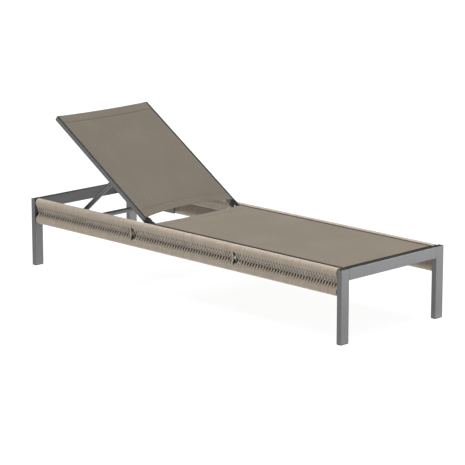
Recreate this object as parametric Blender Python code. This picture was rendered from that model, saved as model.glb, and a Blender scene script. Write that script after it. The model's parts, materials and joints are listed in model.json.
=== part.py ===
"""Outdoor chaise longue with an adjustable sling back and rope-wound sides, as separate solids.

Metres, +Z up. The origin is on the ground under the middle of the base. +X runs to the foot end, and
"left" is the +Y side.
"""

import math

import bmesh
import bpy
from mathutils import Vector

# Base frame
LENGTH = 2.060
WIDTH = 0.672
HEIGHT = 0.3325
LEG_DEPTH = 0.0264
LEG_WIDTH = 0.0492
END_RAIL_HEIGHT = 0.052
TUBE_WALL = 0.002
EDGE_RADIUS = 0.0015
INNER_EDGE_RADIUS = 0.0005
GAP = 0.0003

# Feet
GLIDE_PAD = 0.003
GLIDE_INSET = 0.0006
GLIDE_PLUG = 0.012

# Rope-wound sides: one tube above another, with rope crossing between them
SIDE_TUBE_RADIUS = 0.018
ROPE = 0.0022
ROLL_Y = 0.3155
UPPER_TUBE_Z = 0.314
LOWER_TUBE_Z = 0.230
WAIST_HALF = 0.003
ROPE_STOP = 0.006
POST_X = (-0.302, 0.374)
POST_LENGTH_X = 0.010
POST_THICKNESS = 0.008
POST_EDGE_RADIUS = 0.001

# Extruded rail that holds a sling, the same section for seat and back
RAIL_OUTER_Y = 0.2942
RAIL_WIDTH = 0.028
RAIL_DEPTH = 0.024
RAIL_TOP_Z = 0.332
LIP_WIDTH = 0.008
LEDGE_DROP = 0.003
GROOVE_WIDTH = 0.007
GROOVE_DEPTH = 0.011
HOLLOW_TOP = 0.013
SPLINE_RADIUS = 0.0025
SLING_THICKNESS = 0.0016

# Seat
SEAT_REAR_X = -0.2115
SEAT_SLING_REAR_X = -0.198
CROSS_BAR_X = (-0.150, 0.374, 0.850)
CROSS_BAR_WIDTH = 0.025
CROSS_BAR_HEIGHT = 0.020
CROSS_BAR_RADIUS = 0.004
CROSS_BAR_INNER_RADIUS = 0.0025

# Back, hinged to the seat rails
HINGE_X = -0.226
HINGE_Z = 0.327
REST_ANGLE = math.radians(33)
BACK_RAIL_START = 0.010
BACK_RAIL_END = 0.776
BACK_SLING_START = 0.046
SPREADER_AT = (0.140, 0.700)
SPREADER_WIDTH = 0.030
SPREADER_HEIGHT = 0.014
SPREADER_TOP = 0.009
SPREADER_WALL = 0.0015
CAP_HEAD = 0.003
CAP_PLUG = 0.015
CAP_EDGE_RADIUS = 0.002
KNUCKLE_RADIUS = 0.008
PIN_RADIUS = 0.003
TONGUE_WIDTH = 0.012
TONGUE_NECK = 0.004
FORK_WIDTH = 0.0234
FORK_NECK = 0.003
FORK_TOP_DROP = 0.001
FORK_SLOT_LOW = (-0.012, -0.022)
FORK_SLOT_HIGH = (0.0095, 0.012)
PLUG_LENGTH = 0.030
HINGE_HEAD_RADIUS = 0.0048
HINGE_HEAD_HEIGHT = 0.0013

# U-shaped prop, hinged to the back rails, its foot bar standing on two racks
PROP_AT = 0.3243
PROP_DROP = 0.0115
PROP_ANGLE = math.radians(39.8)
PROP_LENGTH = 0.3929
PROP_RADIUS = 0.012
PROP_WALL = 0.0015
ARM_PAST_PIN = 0.005
ARM_Y = 0.252
ARM_CUT_HALF = 0.020
PROP_HEAD_RADIUS = 0.0055
PROP_HEAD_HEIGHT = 0.0025
PROP_PIN_DEPTH = 0.008
FOOT_BAR_HALF = 0.264
PEG_RADIUS = 0.005
PEG_PLUG = 0.012
COLLAR_LENGTH = 0.002
RACK_INNER_Y = 0.2675
RACK_THICKNESS = 0.010
RACK_BOTTOM_Z = 0.2205
RACK_TOOTH_Z = 0.2366
RACK_FRONT_X = -0.657
TOOTH_PITCH = 0.0361
NOTCHES = 5
TOOTH_DEPTH = 0.005
TOOTH_FRONT = 0.15
TOOTH_FLOOR_END = 0.55
HOOK_LENGTH = 0.018
HOOK_TOP_Z = 0.262

HALF_LENGTH = LENGTH / 2
HALF_WIDTH = WIDTH / 2
INNER_X = HALF_LENGTH - LEG_DEPTH
LEG_INNER_Y = HALF_WIDTH - LEG_WIDTH
ROPE_RADIUS = SIDE_TUBE_RADIUS + GAP + ROPE
RAIL_INNER_Y = RAIL_OUTER_Y - RAIL_WIDTH
HINGE_TO_TOP = RAIL_TOP_Z - HINGE_Z
SIDES = {"left": 1, "right": -1}


def clear_scene():
    for old in list(bpy.data.objects):
        bpy.data.objects.remove(old, do_unlink=True)


def material(name, colour, roughness, metallic=0.0):
    made = bpy.data.materials.new(name)
    made.use_nodes = True
    shader = made.node_tree.nodes["Principled BSDF"]
    shader.inputs["Base Color"].default_value = (*colour, 1.0)
    shader.inputs["Roughness"].default_value = roughness
    shader.inputs["Metallic"].default_value = metallic
    made.diffuse_color = (*colour, 1.0)
    return made


# Outlines: lists of (u, v) points


def arc(centre, radius, start, end, steps):
    """Points on an arc from start to end degrees, both included."""
    points = []
    for step in range(steps + 1):
        angle = math.radians(start + (end - start) * step / steps)
        points.append((centre[0] + radius * math.cos(angle), centre[1] + radius * math.sin(angle)))
    return points


def circle(centre, radius, steps=24):
    return arc(centre, radius, 0, 360, steps)[:-1]


def rectangle(low, high):
    return [(low[0], low[1]), (high[0], low[1]), (high[0], high[1]), (low[0], high[1])]


def rounded_rectangle(low, high, radius, steps=2):
    corners = [
        (high[0] - radius, low[1] + radius, -90),
        (high[0] - radius, high[1] - radius, 0),
        (low[0] + radius, high[1] - radius, 90),
        (low[0] + radius, low[1] + radius, 180),
    ]
    return [point for u, v, turn in corners for point in arc((u, v), radius, turn, turn + 90, steps)]


def rail_outline():
    """Section of a sling rail, from its outer edge at u = 0 inward, with its top at v = 0."""
    groove_end = LIP_WIDTH + GROOVE_WIDTH
    edge = EDGE_RADIUS
    return [
        *arc((edge, -edge), edge, 180, 90, 2),
        (LIP_WIDTH, 0),
        (LIP_WIDTH, -GROOVE_DEPTH),
        (groove_end, -GROOVE_DEPTH),
        (groove_end, -LEDGE_DROP),
        *arc((RAIL_WIDTH - edge, -LEDGE_DROP - edge), edge, 90, 0, 2),
        *arc((RAIL_WIDTH - edge, edge - RAIL_DEPTH), edge, 0, -90, 2),
        *arc((edge, edge - RAIL_DEPTH), edge, -90, -180, 2),
    ]


def rail_hollow():
    return rectangle((TUBE_WALL, TUBE_WALL - RAIL_DEPTH), (RAIL_WIDTH - TUBE_WALL, -HOLLOW_TOP))


def hourglass():
    """Outside of the rope around both tubes: two rounds joined at a narrow waist."""
    middle = (UPPER_TUBE_Z + LOWER_TUBE_Z) / 2
    slant = math.degrees(math.asin(2 * ROPE_RADIUS / (UPPER_TUBE_Z - LOWER_TUBE_Z)))
    upper = arc((0, UPPER_TUBE_Z), ROPE_RADIUS, -slant, 180 + slant, 24)
    lower = arc((0, LOWER_TUBE_Z), ROPE_RADIUS, 180 - slant, 360 + slant, 24)
    return [*upper, (-WAIST_HALF, middle), *lower, (WAIST_HALF, middle)]


def rack_outline():
    """Side view of a rack: a bar with saw teeth on top and an upturned hook at its foot end."""
    rear = -INNER_X + GAP
    hook_start = RACK_FRONT_X - HOOK_LENGTH
    outline = [(rear, RACK_BOTTOM_Z), (RACK_FRONT_X, RACK_BOTTOM_Z), (RACK_FRONT_X, HOOK_TOP_Z)]
    outline.append((RACK_FRONT_X - HOOK_LENGTH / 2, HOOK_TOP_Z))
    outline.append((hook_start, RACK_TOOTH_Z))
    tip = hook_start - HOOK_LENGTH / 2
    for _ in range(NOTCHES):
        outline.append((tip, RACK_TOOTH_Z))
        outline.append((tip - TOOTH_PITCH * TOOTH_FRONT, RACK_TOOTH_Z - TOOTH_DEPTH))
        outline.append((tip - TOOTH_PITCH * TOOTH_FLOOR_END, RACK_TOOTH_Z - TOOTH_DEPTH))
        tip -= TOOTH_PITCH
    outline.append((tip, RACK_TOOTH_Z))
    outline.append((rear, RACK_TOOTH_Z))
    return outline


def tongue_outline():
    """Side view of the back half of a hinge, with its pin at (0, 0) and the back running to -u."""
    plug_top = HINGE_TO_TOP - HOLLOW_TOP - GAP
    plug_bottom = HINGE_TO_TOP - RAIL_DEPTH + TUBE_WALL + GAP
    neck = -BACK_RAIL_START + 2 * GAP
    return [
        *arc((0, 0), KNUCKLE_RADIUS, -60, 130, 12),
        (neck, HINGE_TO_TOP),
        (neck, plug_top),
        (neck - PLUG_LENGTH, plug_top),
        (neck - PLUG_LENGTH, plug_bottom),
        (neck + TONGUE_NECK, plug_bottom),
    ]


def fork_outline():
    """Side view of the seat half of a hinge, with its pin at (0, 0) and the seat running to +u."""
    plug_top = HINGE_TO_TOP - HOLLOW_TOP - GAP
    plug_bottom = HINGE_TO_TOP - RAIL_DEPTH + TUBE_WALL + GAP
    face = SEAT_REAR_X - HINGE_X - GAP
    return [
        *arc((0, 0), KNUCKLE_RADIUS, 60, 230, 12),
        (face - FORK_NECK, plug_bottom),
        (face + PLUG_LENGTH, plug_bottom),
        (face + PLUG_LENGTH, plug_top),
        (face, plug_top),
        (face, HINGE_TO_TOP - FORK_TOP_DROP),
    ]


# Solids


def finish(name, mesh_data, finish_material, location=(0, 0, 0), parent=None):
    """Turns a bmesh into a named object with its faces pointing out."""
    bmesh.ops.remove_doubles(mesh_data, verts=mesh_data.verts, dist=1e-7)
    bmesh.ops.recalc_face_normals(mesh_data, faces=mesh_data.faces)
    mesh = bpy.data.meshes.new(name)
    mesh_data.to_mesh(mesh)
    mesh_data.free()
    mesh.shade_smooth()
    mesh.set_sharp_from_angle(angle=math.radians(32))
    made = bpy.data.objects.new(name, mesh)
    made.data.materials.append(finish_material)
    made.location = location
    made.parent = parent
    bpy.context.collection.objects.link(made)
    return made


def lift(point, along, axis):
    """Places a (u, v) outline point at a distance along an axis: X takes (Y, Z), Y (X, Z), Z (X, Y)."""
    if axis == "X":
        return Vector((along, point[0], point[1]))
    if axis == "Y":
        return Vector((point[0], along, point[1]))
    return Vector((point[0], point[1], along))


def loop_of(mesh_data, outline, along, axis):
    corners = [mesh_data.verts.new(lift(point, along, axis)) for point in outline]
    return [mesh_data.edges.new((corners[i - 1], corners[i])) for i in range(len(corners))]


def bar(name, outline, start, end, axis, finish_material, holes=(), **place):
    """An outline with holes, extruded along an axis."""
    mesh_data = bmesh.new()
    edges = loop_of(mesh_data, outline, start, axis)
    for hole in holes:
        edges += loop_of(mesh_data, hole, start, axis)
    bmesh.ops.triangle_fill(mesh_data, use_beauty=True, use_dissolve=False, edges=edges)
    grown = bmesh.ops.extrude_face_region(mesh_data, geom=mesh_data.faces[:], use_keep_orig=True)
    moved = [item for item in grown["geom"] if isinstance(item, bmesh.types.BMVert)]
    bmesh.ops.translate(mesh_data, verts=moved, vec=lift((0, 0), end - start, axis))
    return finish(name, mesh_data, finish_material, **place)


def stack(name, rings, axis, finish_material, **place):
    """Joins rings of equally many points, each an (outline, position), and closes both ends."""
    mesh_data = bmesh.new()
    loops = []
    for outline, along in rings:
        loops.append([mesh_data.verts.new(lift(point, along, axis)) for point in outline])
    for lower, upper in zip(loops, loops[1:]):
        for i in range(len(lower)):
            mesh_data.faces.new((lower[i - 1], lower[i], upper[i], upper[i - 1]))
    mesh_data.faces.new(loops[0])
    mesh_data.faces.new(loops[-1])
    return finish(name, mesh_data, finish_material, **place)


def cutter(name, outline, start, end, axis, target, **place):
    """A hidden bar cut out of the target."""
    tool = bar(name, outline, start, end, axis, target.data.materials[0], **place)
    tool.hide_render = True
    tool.display_type = "WIRE"
    cut = target.modifiers.new(name, "BOOLEAN")
    cut.operation = "DIFFERENCE"
    cut.object = tool
    return tool


# Sub-parts


def on_side(outline, side, outer_y, top_z):
    """Turns an outline measured inward from an outer edge and down from a top into (Y, Z) points."""
    return [(side * (outer_y - u), top_z + v) for u, v in outline]


def leg(name, x_sign, side, metal):
    """A rectangular tube, closed on top, with a foot plug in its open lower end."""
    x_range = sorted((x_sign * HALF_LENGTH, x_sign * INNER_X))
    y_range = sorted((side * HALF_WIDTH, side * LEG_INNER_Y))
    low = (x_range[0], y_range[0])
    high = (x_range[1], y_range[1])
    outer = rounded_rectangle(low, high, EDGE_RADIUS)
    inner_low = (low[0] + TUBE_WALL, low[1] + TUBE_WALL)
    inner_high = (high[0] - TUBE_WALL, high[1] - TUBE_WALL)
    inner = rounded_rectangle(inner_low, inner_high, INNER_EDGE_RADIUS)
    bottom = GLIDE_PAD + GAP
    rings = [(inner, HEIGHT - TUBE_WALL), (inner, bottom), (outer, bottom), (outer, HEIGHT)]
    stack(name, rings, "Z", metal)


def glide(name, x_sign, side, plastic):
    """A foot: a pad under the leg and a plug inside it."""
    x_range = sorted((x_sign * HALF_LENGTH, x_sign * INNER_X))
    y_range = sorted((side * HALF_WIDTH, side * LEG_INNER_Y))
    inset = TUBE_WALL + GAP
    low = (x_range[0] + GLIDE_INSET, y_range[0] + GLIDE_INSET)
    high = (x_range[1] - GLIDE_INSET, y_range[1] - GLIDE_INSET)
    pad = rounded_rectangle(low, high, EDGE_RADIUS)
    plug_low = (x_range[0] + inset, y_range[0] + inset)
    plug_high = (x_range[1] - inset, y_range[1] - inset)
    shank = rounded_rectangle(plug_low, plug_high, INNER_EDGE_RADIUS)
    rings = [(pad, 0), (pad, GLIDE_PAD), (shank, GLIDE_PAD), (shank, GLIDE_PAD + GLIDE_PLUG)]
    stack(name, rings, "Z", plastic)


def end_frame(name, x_sign, metal, plastic):
    for label, side in SIDES.items():
        leg(f"{name}_leg_{label}", x_sign, side, metal)
        glide(f"{name}_glide_{label}", x_sign, side, plastic)
    x_range = sorted((x_sign * HALF_LENGTH, x_sign * INNER_X))
    low = (x_range[0], HEIGHT - END_RAIL_HEIGHT)
    outer = rounded_rectangle(low, (x_range[1], HEIGHT), EDGE_RADIUS)
    inner_low = (low[0] + TUBE_WALL, low[1] + TUBE_WALL)
    inner_high = (x_range[1] - TUBE_WALL, HEIGHT - TUBE_WALL)
    inner = rounded_rectangle(inner_low, inner_high, INNER_EDGE_RADIUS)
    reach = LEG_INNER_Y - GAP
    bar(f"{name}_top_rail", outer, -reach, reach, "Y", metal, holes=[inner])


def side_roll(label, side, metal, rope):
    """Two round tubes, two posts between them, and three lengths of rope wound around both tubes."""
    reach = INNER_X - GAP
    hole_radius = SIDE_TUBE_RADIUS + GAP
    for height, z in {"upper": UPPER_TUBE_Z, "lower": LOWER_TUBE_Z}.items():
        outer = circle((side * ROLL_Y, z), SIDE_TUBE_RADIUS)
        inner = circle((side * ROLL_Y, z), SIDE_TUBE_RADIUS - TUBE_WALL)
        bar(f"{height}_side_tube_{label}", outer, -reach, reach, "X", metal, holes=[inner])
    post_low = LOWER_TUBE_Z + hole_radius
    post_high = UPPER_TUBE_Z - hole_radius
    for place, x in zip(("head", "foot"), POST_X):
        low = (x - POST_LENGTH_X / 2, side * ROLL_Y - POST_THICKNESS / 2)
        high = (x + POST_LENGTH_X / 2, side * ROLL_Y + POST_THICKNESS / 2)
        section = rounded_rectangle(low, high, POST_EDGE_RADIUS)
        bar(f"{place}_post_{label}", section, post_low, post_high, "Z", metal)
    outline = [(side * ROLL_Y + u, v) for u, v in hourglass()]
    holes = [circle((side * ROLL_Y, z), hole_radius) for z in (UPPER_TUBE_Z, LOWER_TUBE_Z)]
    end = INNER_X - ROPE_STOP
    margin = POST_LENGTH_X / 2 + 2 * GAP
    starts = (-end, POST_X[0] + margin, POST_X[1] + margin)
    stops = (POST_X[0] - margin, POST_X[1] - margin, end)
    for place, start, stop in zip(("head", "middle", "foot"), starts, stops):
        bar(f"{place}_rope_{label}", outline, start, stop, "X", rope, holes=holes)


def sling_rail(name, side, top_z, start, stop, metal, **place):
    outline = on_side(rail_outline(), side, RAIL_OUTER_Y, top_z)
    hollow = on_side(rail_hollow(), side, RAIL_OUTER_Y, top_z)
    return bar(name, outline, start, stop, "X", metal, holes=[hollow], **place)


def sling_spline(name, side, top_z, start, stop, plastic, **place):
    """The rod that holds the sling's edge inside the rail's groove."""
    u = LIP_WIDTH + GROOVE_WIDTH / 2
    v = -(LEDGE_DROP + GROOVE_DEPTH) / 2
    section = circle((side * (RAIL_OUTER_Y - u), top_z + v), SPLINE_RADIUS, 12)
    bar(name, section, start, stop, "X", plastic, **place)


def sling(name, top_z, start, stop, fabric, **place):
    reach = RAIL_OUTER_Y - LIP_WIDTH - GAP
    low = top_z - LEDGE_DROP + GAP
    section = rectangle((-reach, low), (reach, low + SLING_THICKNESS))
    bar(name, section, start, stop, "X", fabric, **place)


def cross_bar(name, x, top_z, size, reach, wall, metal, **place):
    """A flattened tube across the chaise."""
    low = (x - size[0] / 2, top_z - size[1])
    high = (x + size[0] / 2, top_z)
    outer = rounded_rectangle(low, high, CROSS_BAR_RADIUS, 3)
    inner_low = (low[0] + wall, low[1] + wall)
    inner_high = (high[0] - wall, high[1] - wall)
    inner = rounded_rectangle(inner_low, inner_high, CROSS_BAR_INNER_RADIUS, 3)
    bar(name, outer, -reach, reach, "Y", metal, holes=[inner], **place)


def seat(metal, plastic, fabric):
    front = INNER_X - GAP
    for label, side in SIDES.items():
        sling_rail(f"seat_rail_{label}", side, RAIL_TOP_Z, SEAT_REAR_X, front, metal)
        name = f"seat_spline_{label}"
        sling_spline(name, side, RAIL_TOP_Z, SEAT_SLING_REAR_X, front - GAP, plastic)
    sling("seat_sling", RAIL_TOP_Z, SEAT_SLING_REAR_X, front, fabric)
    bar_top = RAIL_TOP_Z - RAIL_DEPTH - GAP
    reach = ROLL_Y - ROPE_RADIUS - 2 * GAP
    size = (CROSS_BAR_WIDTH, CROSS_BAR_HEIGHT)
    for place, x in zip(("rear", "middle", "front"), CROSS_BAR_X):
        cross_bar(f"{place}_cross_bar", x, bar_top, size, reach, TUBE_WALL, metal)


def hinge(label, side, back, metal, plastic):
    """Fork on the seat rail, tongue in the back rail, and the pin through both."""
    middle = side * (RAIL_OUTER_Y - RAIL_WIDTH / 2)
    bore = circle((0, 0), PIN_RADIUS + GAP, 16)
    place = {"location": (HINGE_X, middle, HINGE_Z)}
    half = FORK_WIDTH / 2
    fork = bar(f"hinge_fork_{label}", fork_outline(), -half, half, "Y", plastic, holes=[bore], **place)
    slot = rectangle(FORK_SLOT_LOW, FORK_SLOT_HIGH)
    half_slot = TONGUE_WIDTH / 2 + GAP
    cutter(f"cut_fork_slot_{label}", slot, -half_slot, half_slot, "Y", fork, **place)
    half_tongue = TONGUE_WIDTH / 2
    tongue_place = {"location": (0, middle, 0), "parent": back}
    name = f"hinge_tongue_{label}"
    bar(name, tongue_outline(), -half_tongue, half_tongue, "Y", plastic, holes=[bore], **tongue_place)
    shank = circle((0, 0), PIN_RADIUS, 16)
    head = circle((0, 0), HINGE_HEAD_RADIUS, 16)
    inner_face = -side * (half + GAP)
    head_end = inner_face - side * HINGE_HEAD_HEIGHT
    rings = [(head, head_end), (head, inner_face), (shank, inner_face), (shank, side * half)]
    stack(f"hinge_pin_{label}", rings, "Y", metal, **place)


def back_rails(back, metal, plastic):
    end = -BACK_RAIL_END
    rail_end = end + CAP_HEAD + GAP
    for label, side in SIDES.items():
        place = {"parent": back}
        name = f"back_rail_{label}"
        rail = sling_rail(name, side, HINGE_TO_TOP, rail_end, -BACK_RAIL_START, metal, **place)
        bore = circle((-PROP_AT, -PROP_DROP), PIN_RADIUS + GAP, 16)
        wall = sorted((side * (RAIL_INNER_Y - TUBE_WALL), side * (RAIL_INNER_Y + 2 * TUBE_WALL)))
        cutter(f"cut_prop_bore_{label}", bore, *wall, "Y", rail, **place)
        sling_start = -BACK_SLING_START
        name = f"back_spline_{label}"
        sling_spline(name, side, HINGE_TO_TOP, rail_end, sling_start, plastic, **place)
        head = rounded_rectangle((0, -RAIL_DEPTH), (RAIL_WIDTH, 0), CAP_EDGE_RADIUS)
        inset = TUBE_WALL + GAP
        shank_high = (RAIL_WIDTH - inset, -HOLLOW_TOP - GAP)
        shank = rounded_rectangle((inset, inset - RAIL_DEPTH), shank_high, INNER_EDGE_RADIUS)
        head = on_side(head, side, RAIL_OUTER_Y, HINGE_TO_TOP)
        shank = on_side(shank, side, RAIL_OUTER_Y, HINGE_TO_TOP)
        inner = end + CAP_HEAD
        rings = [(head, end), (head, inner), (shank, inner), (shank, inner + CAP_PLUG)]
        stack(f"back_rail_cap_{label}", rings, "X", plastic, **place)


def backrest(back, metal, plastic, fabric):
    back_rails(back, metal, plastic)
    sling_end = -BACK_RAIL_END + CAP_HEAD + GAP
    sling("back_sling", HINGE_TO_TOP, sling_end, -BACK_SLING_START, fabric, parent=back)
    size = (SPREADER_WIDTH, SPREADER_HEIGHT)
    top = HINGE_TO_TOP - SPREADER_TOP
    reach = RAIL_INNER_Y - GAP
    for place, along in zip(("lower", "upper"), SPREADER_AT):
        name = f"back_spreader_{place}"
        cross_bar(name, -along, top, size, reach, SPREADER_WALL, metal, parent=back)


def prop(back, prop_axis, metal, steel, plastic):
    """Two arms joined by a foot bar, with a peg in each end of the bar, hung on two pins."""
    foot_outer = circle((-PROP_LENGTH, 0), PROP_RADIUS)
    foot_inner = circle((-PROP_LENGTH, 0), PROP_RADIUS - PROP_WALL)
    place = {"parent": prop_axis}
    span = (-FOOT_BAR_HALF, FOOT_BAR_HALF)
    bar("prop_foot_bar", foot_outer, *span, "Y", metal, holes=[foot_inner], **place)
    for label, side in SIDES.items():
        outer = circle((side * ARM_Y, 0), PROP_RADIUS)
        inner = circle((side * ARM_Y, 0), PROP_RADIUS - PROP_WALL)
        name = f"prop_arm_{label}"
        arm = bar(name, outer, -PROP_LENGTH, ARM_PAST_PIN, "X", metal, holes=[inner], **place)
        saddle = circle((-PROP_LENGTH, 0), PROP_RADIUS + GAP)
        across = sorted((side * (ARM_Y - ARM_CUT_HALF), side * (ARM_Y + ARM_CUT_HALF)))
        cutter(f"cut_saddle_{label}", saddle, *across, "Y", arm, **place)
        bore = circle((0, 0), PIN_RADIUS + GAP, 16)
        cutter(f"cut_arm_bore_{label}", bore, *across, "Y", arm, **place)
        prop_pin(label, side, back, steel)
        prop_peg(label, side, prop_axis, plastic)


def prop_pin(label, side, back, steel):
    """A headed pin from inside the arm into the hollow of the back rail."""
    centre = (-PROP_AT, -PROP_DROP)
    head = circle(centre, PROP_HEAD_RADIUS, 16)
    shank = circle(centre, PIN_RADIUS, 16)
    head_face = side * (ARM_Y - PROP_RADIUS - GAP)
    head_end = head_face - side * PROP_HEAD_HEIGHT
    tip = side * (RAIL_INNER_Y + PROP_PIN_DEPTH)
    rings = [(head, head_end), (head, head_face), (shank, head_face), (shank, tip)]
    stack(f"prop_pin_{label}", rings, "Y", steel, parent=back)


def prop_peg(label, side, prop_axis, plastic):
    """A stopper in the end of the foot bar, with the peg that drops into the rack."""
    centre = (-PROP_LENGTH, 0)
    stopper = circle(centre, PROP_RADIUS - PROP_WALL - GAP, 20)
    collar = circle(centre, PROP_RADIUS, 20)
    peg = circle(centre, PEG_RADIUS, 20)
    bar_end = side * (FOOT_BAR_HALF + GAP)
    collar_end = bar_end + side * COLLAR_LENGTH
    rings = [
        (stopper, bar_end - side * PEG_PLUG),
        (stopper, bar_end),
        (collar, bar_end),
        (collar, collar_end),
        (peg, collar_end),
        (peg, side * (RACK_INNER_Y + RACK_THICKNESS)),
    ]
    stack(f"prop_peg_{label}", rings, "Y", plastic, parent=prop_axis)


def racks(metal):
    for label, side in SIDES.items():
        span = sorted((side * RACK_INNER_Y, side * (RACK_INNER_Y + RACK_THICKNESS)))
        bar(f"prop_rack_{label}", rack_outline(), *span, "Y", metal)


def axis_empty(name, location, turn, parent=None):
    made = bpy.data.objects.new(name, None)
    made.location = location
    made.rotation_euler = (0, turn, 0)
    made.parent = parent
    bpy.context.collection.objects.link(made)
    return made


def main():
    clear_scene()
    metal = material("grey_powder_coat", (0.135, 0.138, 0.142), 0.45, 0.3)
    steel = material("stainless_steel", (0.55, 0.55, 0.56), 0.3, 1.0)
    plastic = material("black_nylon", (0.012, 0.012, 0.013), 0.5)
    rope = material("beige_rope", (0.47, 0.40, 0.32), 0.85)
    fabric = material("taupe_sling", (0.25, 0.215, 0.17), 0.8)
    back = axis_empty("backrest_axis", (HINGE_X, 0, HINGE_Z), REST_ANGLE)
    prop_turn = -(PROP_ANGLE + REST_ANGLE)
    prop_axis = axis_empty("prop_axis", (-PROP_AT, 0, -PROP_DROP), prop_turn, back)
    end_frame("head", -1, metal, plastic)
    end_frame("foot", 1, metal, plastic)
    for label, side in SIDES.items():
        side_roll(label, side, metal, rope)
        hinge(label, side, back, steel, plastic)
    seat(metal, plastic, fabric)
    racks(metal)
    backrest(back, metal, plastic, fabric)
    prop(back, prop_axis, metal, steel, plastic)


main()
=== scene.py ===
"""Looks of the rope-wound chaise longue: wound rope, sling fabric, finishes, floor, light and camera.

Metres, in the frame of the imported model: +X to the foot end, "left" is +Y, +Z up.
"""

import json
import math

import bmesh
import bpy
import numpy as np
from mathutils import Matrix, Vector


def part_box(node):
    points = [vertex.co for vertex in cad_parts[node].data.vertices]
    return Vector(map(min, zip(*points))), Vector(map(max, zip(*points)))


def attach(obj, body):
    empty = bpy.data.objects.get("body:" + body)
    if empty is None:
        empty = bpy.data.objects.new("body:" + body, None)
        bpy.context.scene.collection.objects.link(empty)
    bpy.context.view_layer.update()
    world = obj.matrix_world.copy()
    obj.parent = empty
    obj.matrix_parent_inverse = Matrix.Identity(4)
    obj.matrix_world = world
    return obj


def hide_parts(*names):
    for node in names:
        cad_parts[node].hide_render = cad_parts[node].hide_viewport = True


SIDES = {"left": 1, "right": -1}

# Camera and light
CAMERA_AZIMUTH = 45.31
CAMERA_ELEVATION = 13.02
CAMERA_DISTANCE = 10.70
CAMERA_TARGET = (0.085, -0.056, 0.299)
CAMERA_REACH = 200.0
SENSOR_WIDTH = 36.0
LENS = 178.7
FLOOR_SIZE = 80.0
FLOOR_GLOW = 0.93
SKY_LIGHT = 0.10
FOOT_SKY_LIGHT = 0.70
TOP_LIGHT = 4.8
KEY_LIGHT = 0.2
CARD_LIGHT = 230.0

# Linear colours. The two tones of a pair are blended.
WHITE = (1.0, 1.0, 1.0, 1.0)
COAT_TONES = ((0.138, 0.139, 0.141), (0.158, 0.159, 0.161))
COAT_FLECK = (0.33, 0.33, 0.33)
DUST = (0.30, 0.28, 0.25)
NYLON_TONES = ((0.011, 0.011, 0.012), (0.020, 0.020, 0.021))
STEEL_TONES = ((0.50, 0.50, 0.51), (0.62, 0.62, 0.63))
CORD_TONES = ((0.434, 0.370, 0.297), (0.535, 0.462, 0.377))
# Painted shade in the braid's grooves
CORD_GROOVE_SHADE = (0.220, 0.180, 0.140)
CORD_STAIN = (0.31, 0.265, 0.22)
# Painted shade: the side of the inner cords that faces the cavity inside the roll
CORD_CAVITY_SHADE = (0.018, 0.014, 0.010)
SEAT_TONES = ((0.117, 0.099, 0.077), (0.236, 0.198, 0.156))
# The back cloth is the seat's cloth made darker: painted shade for the back's darker look
BACK_SHADED_TONES = ((0.092, 0.078, 0.060), (0.199, 0.168, 0.131))
# Painted shade in the weave's gaps between yarns
CLOTH_GAP_SHADE = (0.080, 0.069, 0.056)
# Weld line at each hem's edge, darkened further with painted shade of the hem's step
CLOTH_SEAM_AND_SHADE = (0.060, 0.050, 0.039)
THREAD_TONES = ((0.150, 0.128, 0.102), (0.210, 0.182, 0.148))
FLOOR_TONES = ((0.11, 0.11, 0.11), (0.13, 0.13, 0.13))

# Surface details: how strongly each one shows, the noise above which the coat has a fleck, how high the
# dust reaches and the tone that the cloth starts from. The weave's gaps are painted shade; the hem bands are
# a weld line with painted shade.
FLECK_LEVEL = 0.66
FLECK_STRENGTH = 0.25
DUST_HEIGHT = 0.045
DUST_STRENGTH = 0.35
STAIN_STRENGTH = 0.14
FIBRE_STRENGTH = 0.35
WEAVE_GAP_SHADE_STRENGTH = 0.55
WEAVE_TONE_STRENGTH = 0.5
WEAVE_TONE_LEVEL = 0.25
SEAT_FIGURE = 0.12
BACK_FIGURE = 0.42
SEAT_SEAM_AND_SHADE = 0.20
BACK_SEAM_AND_SHADE = 0.45

# Rope: cords wound in a figure of eight round both side tubes. A fan is how far from the crossing its
# bundles start to spread and have fully spread.
CORD_PITCH = 0.00345
CORD_THICKNESS = 0.0022
CORD_CLEARANCE = 0.0003
CORD_JITTER = 0.00012
CORD_FATNESS = (0.94, 1.06)
BRAID_LENGTH = 0.0042
CORDS_PER_BUNDLE = 5
UPPER_OUTER_FAN = (0.014, 0.036)
UPPER_INNER_FAN = (0.0, 0.011)
LOWER_OUTER_FAN = (0.013, 0.034)
LOWER_INNER_FAN = (0.0, 0.006)
WAIST_THICKNESS = 0.0028
WAIST_SHARE = 0.45
DOWN_SHARE = 0.25
UP_SHARE = 0.75
# Painted shade inside the roll: how dark it is on each pass, how fast it ramps in, and how it follows the side a
# ring faces
LOWER_CAVITY_SHADE = 1.0
UPPER_CAVITY_SHADE = 0.9
CAVITY_SHADE_RAMP = 0.4
FACING_SLOPE = 2.2
FACING_LEVEL = 0.25
TIE_CORDS = 2
TIE_SHADES = (0.3, 0.9)
WRAP_END_GAP = 0.0003
CORD_SIDES = 6
HALF_TURN_STEPS = 7
PASS_STEPS = (0.12, 0.25, 0.37, 0.46, 0.50, 0.54, 0.63, 0.75, 0.88)
TIE_STEPS = (0.2, 0.4, 0.6, 0.8)

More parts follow.
